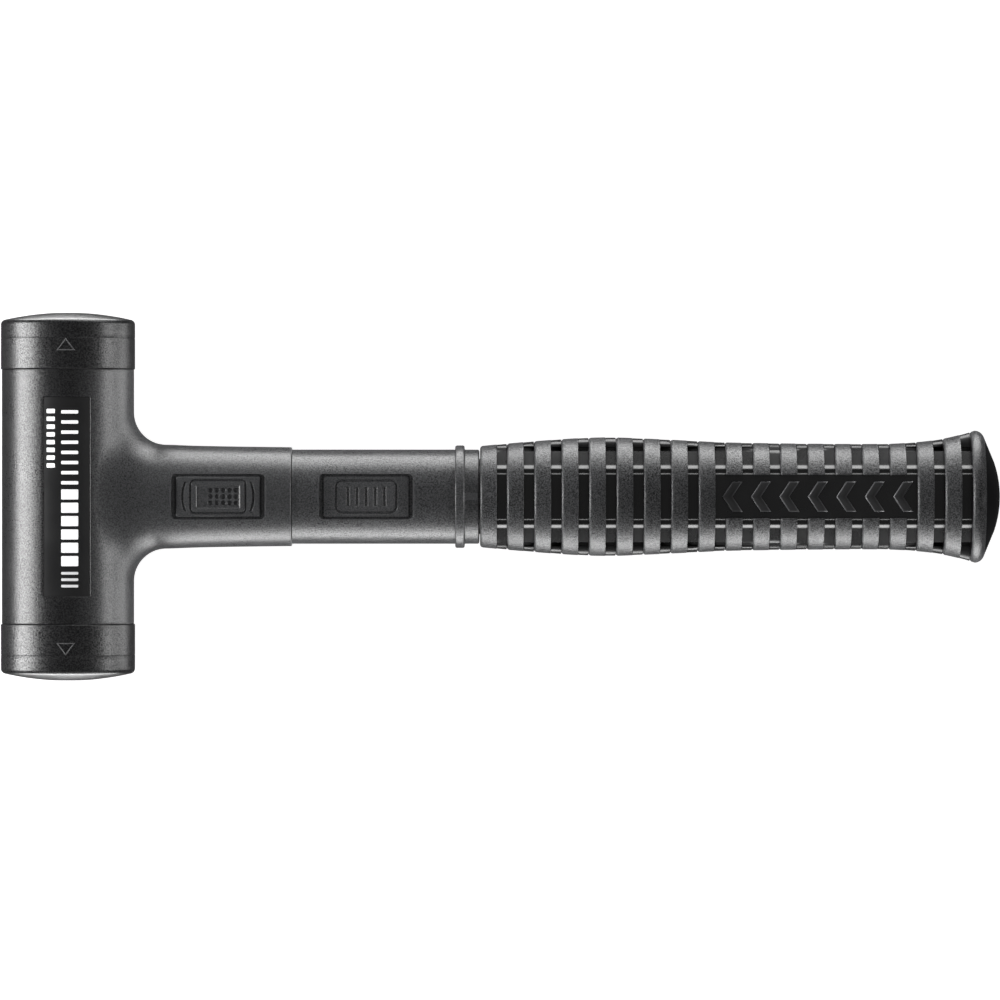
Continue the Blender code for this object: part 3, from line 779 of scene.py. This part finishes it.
def grip_quarter(envelope, slot, panel):
    """(y, z) points from the middle of the front to the side, on a rib or in the slot beside it."""
    fatness = min(max((envelope - SLIM_RADIUS) / (FAT_RADIUS - SLIM_RADIUS), 0.0), 1.0)
    slim_valley, fat_valley = VALLEY_HEIGHTS
    inner, outer = (low + (high - low) * fatness for low, high in zip(slim_valley, fat_valley))
    rail = RAIL_HEIGHTS[0] + (RAIL_HEIGHTS[1] - RAIL_HEIGHTS[0]) * fatness
    crest_y = min(RAIL_START, 0.955 * envelope)
    crest = math.asin(crest_y / envelope)
    squeeze = min(1.0, 0.95 * crest_y / FACET_END)
    facet_z = float(core_height(np.array([FACET_END]))[0])
    points = []
    for kind, value in GRIP_LINES:
        if kind == "core":
            y, low = value * squeeze, float(core_height(np.array([value]))[0])
        elif kind == "wall":
            y = FACET_END * squeeze + (crest_y - FACET_END * squeeze) * value
            low = np.interp(value, (0.0, 0.12, 0.88, 1.0), (facet_z, inner, outer, rail))
        elif slot:
            angle = math.pi / 2 * value
            y = crest_y + (envelope - RAIL_DROP - crest_y) * math.sin(angle)
            points.append((y, rail * math.cos(angle)))
            continue
        else:
            angle = crest + (math.pi / 2 - crest) * value
            points.append((envelope * math.sin(angle), envelope * math.cos(angle)))
            continue
        sunk = slot or (panel and y < PANEL_HALF_WIDTH)
        chamfer = max(PANEL_HALF_WIDTH + PANEL_EDGE - y, 0.0) if panel else 0.0
        points.append((y, low if sunk else math.sqrt(envelope**2 - y**2) - chamfer))
    return points


def grip_ring(x, envelope, slot=False, panel=False):
    front = grip_quarter(envelope, slot, panel)
    back = grip_quarter(envelope, slot, False)
    right = front + [(y, -z) for y, z in reversed(back[:-1])]
    left = [(-y, z) for y, z in reversed(right[1:-1])]
    return [(x, y, z) for y, z in right + left]


def rib_profile(start, end):
    """(x, drop under the envelope) across a rib: a soft edge towards the head, a crisper one behind."""
    front_edge = ((0.0, 0.80), (0.08, 0.48), (0.64, 0.045), (1.0, 0.0))
    back_edge = ((0.0, 0.70), (0.10, 0.40), (0.30, 0.16), (0.62, 0.04), (1.0, 0.0))
    left = [(start + RIB_CHAMFER * t, RIB_CHAMFER * drop) for t, drop in front_edge]
    right = [(end - RIB_BACK_CHAMFER * t, RIB_BACK_CHAMFER * drop) for t, drop in reversed(back_edge)]
    middle = [(start + (end - start) * t, 0.0) for t in (0.35, 0.5, 0.65)]
    return left + middle + right


def grip_envelope(x):
    return smooth_through(GRIP_ENVELOPE, x)


def grip_rings():
    """The rings of the grip as (points, look), from its nose to the rim."""
    rings = []
    nose_radius = grip_envelope(GRIP_START + NOSE_ROUNDING)
    for radius, x in arc((nose_radius - NOSE_ROUNDING, GRIP_START + NOSE_ROUNDING), NOSE_ROUNDING, 0, 90, 6):
        mirrored = 2 * (GRIP_START + NOSE_ROUNDING) - x
        rings.append((grip_ring(mirrored, radius), "rib"))
    for x in (GRIP_START + 2 * MM, GRIP_START + 3 * MM):
        rings.append((grip_ring(x, grip_envelope(x)), "rib"))
    # The first rib ends with the back edge of a rib, and the rim starts with a front edge.
    for x, drop in rib_profile(GRIP_START, FIRST_RIB_END)[-5:]:
        rings.append((grip_ring(x, grip_envelope(x) - drop), "rib"))
    end = FIRST_RIB_END
    wall = 0.12 * MM
    for number in range(RIB_COUNT):
        start = SECOND_RIB_START + number * RIB_PITCH
        for x in (end + wall, (end + start) / 2, start - wall):
            rings.append((grip_ring(x, grip_envelope(x), slot=True), "slot"))
        if number == RIB_COUNT - 1:
            break
        end = start + RIB_WIDTH
        panel = PANEL_FIRST_RIB <= number + 1 < PANEL_FIRST_RIB + PANEL_RIBS
        for x, drop in rib_profile(start, end):
            rings.append((grip_ring(x, grip_envelope(x) - drop, panel=panel), "panel" if panel else "rib"))
    rim_start = SECOND_RIB_START + (RIB_COUNT - 1) * RIB_PITCH
    for x, drop in rib_profile(rim_start, rim_start + RIB_WIDTH)[:4]:
        if x < RIM_CENTRE_X:
            rings.append((grip_ring(x, grip_envelope(x) - drop), "rib"))
    return rings


def grip_shell(grained, smooth, dome):
    surface = Surface()
    rings = [(surface.ring(points), look) for points, look in grip_rings()]
    panel_lines = sum(1 for kind, y in GRIP_LINES if kind == "core" and y < PANEL_HALF_WIDTH)
    surface.face(rings[0][0])
    for (lower, look), (upper, upper_look) in zip(rings, rings[1:]):
        surface.slot = 1 if "slot" in (look, upper_look) else 0
        surface.join(lower, upper, panel_lines if look == upper_look == "panel" else 0)

    rim = (RIM_RADIUS - RIM_ROUNDING, RIM_CENTRE_X)
    dome_centre = POMMEL_END - POMMEL_DOME_RADIUS
    dome_angle = math.degrees(math.asin(POMMEL_DOME_EDGE / POMMEL_DOME_RADIUS))
    pommel = arc(rim, RIM_ROUNDING, 90, dome_angle + 2.5, 14)
    pommel += arc((0, dome_centre), POMMEL_DOME_RADIUS, dome_angle, 1.5, 14)
    around = [(y, z) for _, y, z in grip_ring(RIM_CENTRE_X, RIM_RADIUS)]
    previous = rings[-1][0]
    for radius, x in pommel:
        surface.slot = 0 if x < POMMEL_GRAIN_END else 2
        ring = surface.ring([(x, y * radius / RIM_RADIUS, z * radius / RIM_RADIUS) for y, z in around])
        surface.join(previous, ring)
        previous = ring
    surface.fan(previous, (POMMEL_END, 0, 0))
    grip = surface.build("grip_shell", [grained, smooth, dome])

    plug_end = along_handle("tube_plug")[1] + FIT
    counterbore = SPIGOT_RADIUS + FIT
    step = SLEEVE_SPIGOT_END + FIT
    bore = turned(
        "grip_bore",
        [(0, GRIP_START - FIT), (counterbore, GRIP_START - FIT), (counterbore, step), (TUBE_HOLE, step),
         (TUBE_HOLE, plug_end), (0, plug_end)],
        "x", [],
    )
    cut_with(grip, bore)
    finish_piece(grip, "grip_plastic", "grip_sleeve")


def chevron(name, x, material):
    """A raised chevron on the floor of the grip's panel, pointing at the head."""
    half_height, arm, point = 4.5 * MM, 3.0 * MM, 3.0 * MM
    outline = [
        (x, 0.0), (x + point, half_height), (x + point + arm, half_height), (x + arm, 0.0),
        (x + point + arm, -half_height), (x + point, -half_height),
    ]
    bm = bmesh.new()
    low, high = CORE_HEIGHT - CHEVRON_SUNK, CORE_HEIGHT + CHEVRON_HEIGHT
    bottom = bm.faces.new([bm.verts.new((px, py, low)) for px, py in outline])
    lifted = bmesh.ops.extrude_face_region(bm, geom=[bottom])
    top = [v for v in lifted["geom"] if isinstance(v, bmesh.types.BMVert)]
    bmesh.ops.translate(bm, verts=top, vec=(0, 0, high - low))
    top_edges = [e for e in bm.edges if all(v in top for v in e.verts)]
    bmesh.ops.bevel(bm, geom=top_edges, offset=0.42 * MM, segments=4, affect="EDGES", profile=0.6)
    bmesh.ops.recalc_face_normals(bm, faces=bm.faces)
    mesh = bpy.data.meshes.new(name)
    bm.to_mesh(mesh)
    bm.free()
    mesh.materials.append(material)
    finish_piece(add_piece(name, mesh), "grip_plastic")


# ---- materials

# Where the casing's colour starts and stops lightening along the handle: painted light, the brighter light
# over the handle painted into the neck
NECK_LIGHT_SPAN = (2 * MM, 15 * MM)
# The part of the noise that makes the grain, and the pointiness from flat faces to sharp edges
GRAIN_RANGE = (0.35, 0.65)
EDGE_RANGE = (0.51, 0.60)


class Shader:
    """A Principled material and short ways to add nodes to it."""

    def __init__(self, name, roughness, metallic=0.0, **sockets):
        self.material = bpy.data.materials.new(name)
        self.material.use_nodes = True
        self.nodes = self.material.node_tree.nodes
        self.links = self.material.node_tree.links
        self.main = self.nodes["Principled BSDF"]
        self.main.inputs["Roughness"].default_value = roughness
        self.main.inputs["Metallic"].default_value = metallic
        for socket, value in sockets.items():
            self.main.inputs[socket.replace("_", " ")].default_value = value
        self.place = self.nodes.new("ShaderNodeTexCoord").outputs["Object"]

    def noise(self, size, detail=2.0, roughness=0.5, stretch=None):
        node = self.nodes.new("ShaderNodeTexNoise")
        node.inputs["Scale"].default_value = 1 / size
        node.inputs["Detail"].default_value = detail
        node.inputs["Roughness"].default_value = roughness
        place = self.place
        if stretch:
            mapping = self.nodes.new("ShaderNodeMapping")
            mapping.inputs["Scale"].default_value = stretch
            self.links.new(place, mapping.inputs["Vector"])
            place = mapping.outputs["Vector"]
        self.links.new(place, node.inputs["Vector"])
        return node.outputs["Fac"]

    def cells(self, size):
        node = self.nodes.new("ShaderNodeTexVoronoi")
        node.inputs["Scale"].default_value = 1 / size
        self.links.new(self.place, node.inputs["Vector"])
        return node.outputs["Distance"]

    def spread(self, value, low, high, from_low=0.3, from_high=0.7):
        node = self.nodes.new("ShaderNodeMapRange")
        node.inputs["From Min"].default_value = from_low
        node.inputs["From Max"].default_value = from_high
        node.inputs["To Min"].default_value = low
        node.inputs["To Max"].default_value = high
        self.links.new(value, node.inputs["Value"])
        return node.outputs["Result"]

    def add(self, a, b):
        node = self.nodes.new("ShaderNodeMath")
        for socket, value in zip(node.inputs, (a, b)):
            self.links.new(value, socket)
        return node.outputs["Value"]

    def mix(self, share, first, second):
        node = self.nodes.new("ShaderNodeMix")
        node.data_type = "RGBA"
        self.links.new(share, node.inputs["Factor"])
        for socket, color in (("A", first), ("B", second)):
            target = next(i for i in node.inputs if i.name == socket and i.type == "RGBA")
            if isinstance(color, tuple):
                target.default_value = (*color, 1.0)
            else:
                self.links.new(color, target)
        return next(o for o in node.outputs if o.type == "RGBA")

    def clouded(self, value, color, low, high=1.0):
        """The colour, from low to high times as bright."""
        dark, light = (tuple(c * k for c in color) for k in (low, high))
        return self.mix(self.spread(value, 0.0, 1.0), dark, light)

    def bump(self, height, depth, strength=1.0, under=None):
        node = self.nodes.new("ShaderNodeBump")
        node.inputs["Strength"].default_value = strength
        node.inputs["Distance"].default_value = depth
        self.links.new(height, node.inputs["Height"])
        if under:
            self.links.new(under, node.inputs["Normal"])
        return node.outputs["Normal"]

    def edges(self):
        """0 on flat faces, 1 on the sharpest outer edges."""
        node = self.nodes.new("ShaderNodeNewGeometry")
        return self.spread(node.outputs["Pointiness"], 0.0, 1.0, *EDGE_RANGE)

    def connect(self, **sockets):
        for socket, value in sockets.items():
            self.links.new(value, self.main.inputs[socket.replace("_", " ")])
        return self.material


def grained_plastic(name, color, roughness, grain=0.45 * MM, depth=0.06 * MM, speckle=(0.25, 0.4),
                    lit_neck_color=None):
    """Moulded plastic with a fine grain, faint clouding and polished edges.

    The speckle is how much the grain changes the colour and the shine. With a lit neck colour, the tone
    lightens over the fillet between barrel and neck, a painted light for the brighter light over the handle.
    """
    shader = Shader(name, roughness, IOR=1.5)
    fine = shader.noise(grain, detail=1.5, roughness=0.6)
    clouds = shader.noise(14 * MM, detail=3.0)
    if lit_neck_color:
        # Painted light: towards the neck the colour turns into the lighter neck colour, standing in for the
        # brighter light over the handle.
        split = shader.nodes.new("ShaderNodeSeparateXYZ")
        shader.links.new(shader.place, split.inputs["Vector"])
        along = shader.spread(split.outputs["X"], 0.0, 1.0, *NECK_LIGHT_SPAN)

    def tone(share):
        near = tuple(c * share for c in color)
        return shader.mix(along, near, tuple(c * share for c in lit_neck_color)) if lit_neck_color else near

    tint, shine = speckle
    base = shader.mix(shader.spread(fine, 0.0, 1.0, *GRAIN_RANGE), tone(1 - tint), tone(1 + tint))
    base = shader.mix(shader.spread(clouds, 0.0, 0.25), base, tone(1.5))
    # Sharp edges are painted twice as light: partly wear, partly a painted highlight along edges and seams.
    worn_and_highlighted_edges = shader.mix(shader.edges(), base, tone(2.0))
    level = shader.spread(fine, 0.5 * (1 - shine), 0.5 * (1 + shine), *GRAIN_RANGE)
    gloss = shader.spread(fine, roughness - 0.05, roughness + 0.05)
    gloss = shader.add(gloss, shader.spread(clouds, -0.02, 0.03))
    waves = shader.bump(clouds, 0.02 * MM, 0.5)
    relief = shader.bump(fine, depth, 1.0, waves)
    return shader.connect(Base_Color=worn_and_highlighted_edges, Roughness=gloss, Specular_IOR_Level=level, Normal=relief)


def smooth_plastic(name, color, roughness, specular=0.5, edge=1.0):
    """Smooth plastic with flow marks and fine scratches, and edges painted edge times lighter as a painted
    highlight.
    """
    shader = Shader(name, roughness, IOR=1.5, Specular_IOR_Level=specular)
    clouds = shader.noise(9 * MM, detail=4.0)
    scratches = shader.noise(0.9 * MM, detail=2.0, stretch=(0.15, 1.0, 1.0))
    base = shader.clouded(clouds, color, 0.8, 1.3)
    gloss = shader.spread(clouds, roughness - 0.04, roughness + 0.05)
    relief = shader.bump(scratches, 0.004 * MM, 0.6)
    # Sharp edges are painted edge times lighter, a painted highlight.
    painted_edge_highlight = shader.mix(shader.edges(), base, tuple(c * edge for c in color))
    return shader.connect(Base_Color=painted_edge_highlight, Roughness=gloss, Normal=relief)


def glowing_ink(name, color):
    # The ink glows a little on top of its print colour: a painted light that keeps the print bright under
    # the dim overhead light.
    shader = Shader(name, 0.45, Emission_Color=(*color, 1.0), Emission_Strength=0.55)
    speckle = shader.noise(0.5 * MM, detail=2.0)
    base = shader.clouded(speckle, color, 0.9)
    gloss = shader.spread(speckle, 0.38, 0.52)
    return shader.connect(Base_Color=base, Roughness=gloss, Normal=shader.bump(speckle, 0.004 * MM, 0.5))


def drawn_steel(name, color, roughness):
    """Fine lines along the part, and clouds of mill scale."""
    shader = Shader(name, roughness, metallic=1.0)
    lines = shader.noise(0.5 * MM, detail=3.0, stretch=(0.02, 1.0, 1.0))
    clouds = shader.noise(12 * MM, detail=4.0)
    base = shader.clouded(clouds, color, 0.7)
    gloss = shader.spread(lines, roughness - 0.08, roughness + 0.12)
    return shader.connect(Base_Color=base, Roughness=gloss, Normal=shader.bump(lines, 0.01 * MM, 0.6))


def tumbled_steel(name, color, roughness):
    """Steel shot, dimpled where the balls hit each other."""
    shader = Shader(name, roughness, metallic=1.0)
    dents = shader.cells(1.4 * MM)
    clouds = shader.noise(3 * MM, detail=3.0)
    base = shader.clouded(clouds, color, 0.75)
    gloss = shader.spread(clouds, roughness - 0.05, roughness + 0.12)
    return shader.connect(Base_Color=base, Roughness=gloss, Normal=shader.bump(dents, 0.03 * MM, 0.7))


# ---- stage, light and camera

FLOOR_GLOW = 0.86


def pale_floor():
    """A plain pale floor that glows a little and is left out of mirror reflections."""
    bpy.ops.mesh.primitive_plane_add(size=12.0, location=(0, 0, 0))
    floor = bpy.context.object
    floor.name = "studio_floor"
    shader = Shader("pale_floor", 0.8, Specular_IOR_Level=0.0, Emission_Color=(1.0, 1.0, 1.0, 1.0),
                    Emission_Strength=FLOOR_GLOW)
    tone = shader.mix(shader.noise(0.5), (0.50, 0.50, 0.50), (0.52, 0.52, 0.52))
    floor.data.materials.append(shader.connect(Base_Color=tone))
    floor.visible_glossy = False


def softbox(name, place, target, width, height, radiance, spread=180.0):
    """A rectangular lamp that faces its target; radiance is how bright its face is."""
    data = bpy.data.lights.new(name, "AREA")
    data.shape = "RECTANGLE"
    data.size, data.size_y = width, height
    data.energy = radiance * width * height * math.pi
    data.spread = math.radians(spread)
    lamp = bpy.data.objects.new(name, data)
    bpy.context.scene.collection.objects.link(lamp)
    lamp.location = place
    lamp.rotation_euler = (Vector(target) - Vector(place)).to_track_quat("-Z", "Y").to_euler()
    lamp.visible_camera = False


# Brightness of the surroundings by height: 0 is the horizon and 1 straight overhead
SKY = ((-0.25, 0.12), (-0.15, 0.12), (-0.10, 0.35), (0.35, 0.35), (0.7, 0.45), (0.9, 0.18), (1.0, 0.26))


def studio_world():
    """Soft surroundings: dark below the horizon, and dimmer overhead than beside it."""
    world = bpy.data.worlds.new("studio")
    world.use_nodes = True
    nodes, links = world.node_tree.nodes, world.node_tree.links
    place = nodes.new("ShaderNodeTexCoord").outputs["Generated"]
    split = nodes.new("ShaderNodeSeparateXYZ")
    links.new(place, split.inputs["Vector"])
    ramp = nodes.new("ShaderNodeValToRGB")
    stops = ramp.color_ramp.elements
    while len(stops) < len(SKY):
        stops.new(0.5)
    lowest = SKY[0][0]
    for stop, (height, tone) in zip(stops, SKY):
        stop.position = (height - lowest) / (1 - lowest)
        stop.color = (tone, tone, tone, 1.0)
    share = nodes.new("ShaderNodeMapRange")
    share.inputs["From Min"].default_value = lowest
    links.new(split.outputs["Z"], share.inputs["Value"])
    links.new(share.outputs["Result"], ramp.inputs["Fac"])
    background = nodes["Background"]
    links.new(ramp.outputs["Color"], background.inputs["Color"])
    bpy.context.scene.world = world


def studio_lights():
    """Softboxes around the mallet, and small cards close beside it."""
    head_x, handle_x = CROSSING.x, 0.03
    head = (head_x, 0.0, CROSSING.z)
    handle = (handle_x, 0.0, CROSSING.z)
    for lamp in (
        ("left_low", (head_x - 0.45, 0.0, 0.055), head, 0.4, 0.11, 20.5),
        ("left_high", (head_x - 0.42, 0.0, 0.20), head, 0.4, 0.14, 14.5),
        ("far_low", (0.08, 0.45, 0.07), handle, 0.5, 0.14, 5.0),
        ("near_low", (handle_x, -0.45, 0.06), handle, 0.7, 0.12, 2.1),
        ("head_card", (handle_x, 0.0, 0.068), (head_x, 0.0, 0.035), 0.16, 0.055, 0.80, 60.0),
    ):
        softbox(*lamp)
    for end, side, radiance in (("far", 1, 3.1), ("near", -1, 3.7)):
        strip, strip_target = (handle_x, side * 0.050, 0.0205), (handle_x, side * 0.013, 0.0475)
        softbox(f"{end}_strip", strip, strip_target, 0.26, 0.024, radiance, 110.0)
        card, card_target = (head_x + 0.070, side * 0.037, 0.015), (head_x + 0.016, side * 0.037, 0.044)
        softbox(f"{end}_neck_card", card, card_target, 0.044, 0.034, 1.25, 110.0)
        card, card_target = (head_x, side * 0.078, 0.027), (head_x, side * 0.053, 0.052)
        softbox(f"{end}_face_card", card, card_target, 0.05, 0.03, 2.8, 90.0)


VIEW_WIDTH = 298.5 * MM
VIEW_DISTANCE = 2.4
VIEW_CENTRE = (-0.1 * MM, -1.0 * MM)


def camera():
    """Straight down on the mallet with a very long lens."""
    data = bpy.data.cameras.new("camera")
    data.sensor_width = 36.0
    data.lens = VIEW_DISTANCE / VIEW_WIDTH * data.sensor_width
    data.clip_start, data.clip_end = 0.01, 50.0
    view = bpy.data.objects.new("camera", data)
    bpy.context.scene.collection.objects.link(view)
    view.location = (*VIEW_CENTRE, CROSSING.z + VIEW_DISTANCE)
    bpy.context.scene.camera = view
    bpy.context.scene.view_settings.view_transform = "Standard"


# ---- everything

def main():
    camera()
    pale_floor()
    studio_world()
    studio_lights()

    # Painted light: the neck, sleeve and ribs get this tone, lighter than the black head, standing in for
    # the brighter light over the handle.
    lit_handle_tone = (0.034, 0.0345, 0.036)
    black = (0.004, 0.004, 0.0045)
    casing = grained_plastic("casing_plastic_look", black, 0.32, lit_neck_color=lit_handle_tone)
    sleeve = grained_plastic("sleeve_plastic_look", lit_handle_tone, 0.32, speckle=(0.4, 0.5))
    strike = grained_plastic("strike_plastic_look", black, 0.32, speckle=(0.3, 0.5))
    mark = grained_plastic("wear_mark_look", (0.06, 0.06, 0.0615), 0.40)
    ribs = grained_plastic("grip_rib_look", lit_handle_tone, 0.36, 0.38 * MM, 0.11 * MM, speckle=(0.85, 0.55))
    core = smooth_plastic("grip_core_look", (0.008, 0.008, 0.0085), 0.28)
    # The chevrons' edges are painted 14 times lighter, a painted highlight that makes them catch the light.
    relief = smooth_plastic("grip_relief_look", (0.012, 0.012, 0.0125), 0.34, edge=14.0)
    dome = smooth_plastic("pommel_dome_look", (0.008, 0.008, 0.0085), 0.40, specular=0.01)
    film = smooth_plastic("label_film_look", (0.007, 0.007, 0.0075), 0.32)
    inks = {
        "white": glowing_ink("label_ink_white", (0.80, 0.80, 0.80)),
        "grey": glowing_ink("label_ink_grey", (0.55, 0.55, 0.56)),
    }
    tube = drawn_steel("tube_steel_look", (0.45, 0.46, 0.48), 0.35)
    shot = tumbled_steel("shot_steel_look", (0.62, 0.62, 0.64), 0.24)
    plug = grained_plastic("plug_plastic_look", (0.05, 0.05, 0.05), 0.5)

    head_casing([casing])
    label_strip(film, inks)
    strike_face("face_pos_y", 1, "strike_face_pos_y", strike, mark)
    strike_face("face_neg_y", -1, "strike_face_neg_y", strike, mark)
    handle_sleeve([sleeve])
    grip_shell(ribs, core, dome)
    for number in range(CHEVRON_COUNT):
        chevron(f"grip_chevron_{number + 1}", CHEVRON_START + number * CHEVRON_PITCH, relief)

    looks = {"tube_steel": tube, "shot_steel": shot, "plug_plastic": plug}
    slots = {part["node"]: part["material_slot"] for part in frame["record"]["subparts"]}
    for name, node in frame["nodes"].items():
        if slots[name] in looks:
            node.data.materials.clear()
            node.data.materials.append(looks[slots[name]])


main()
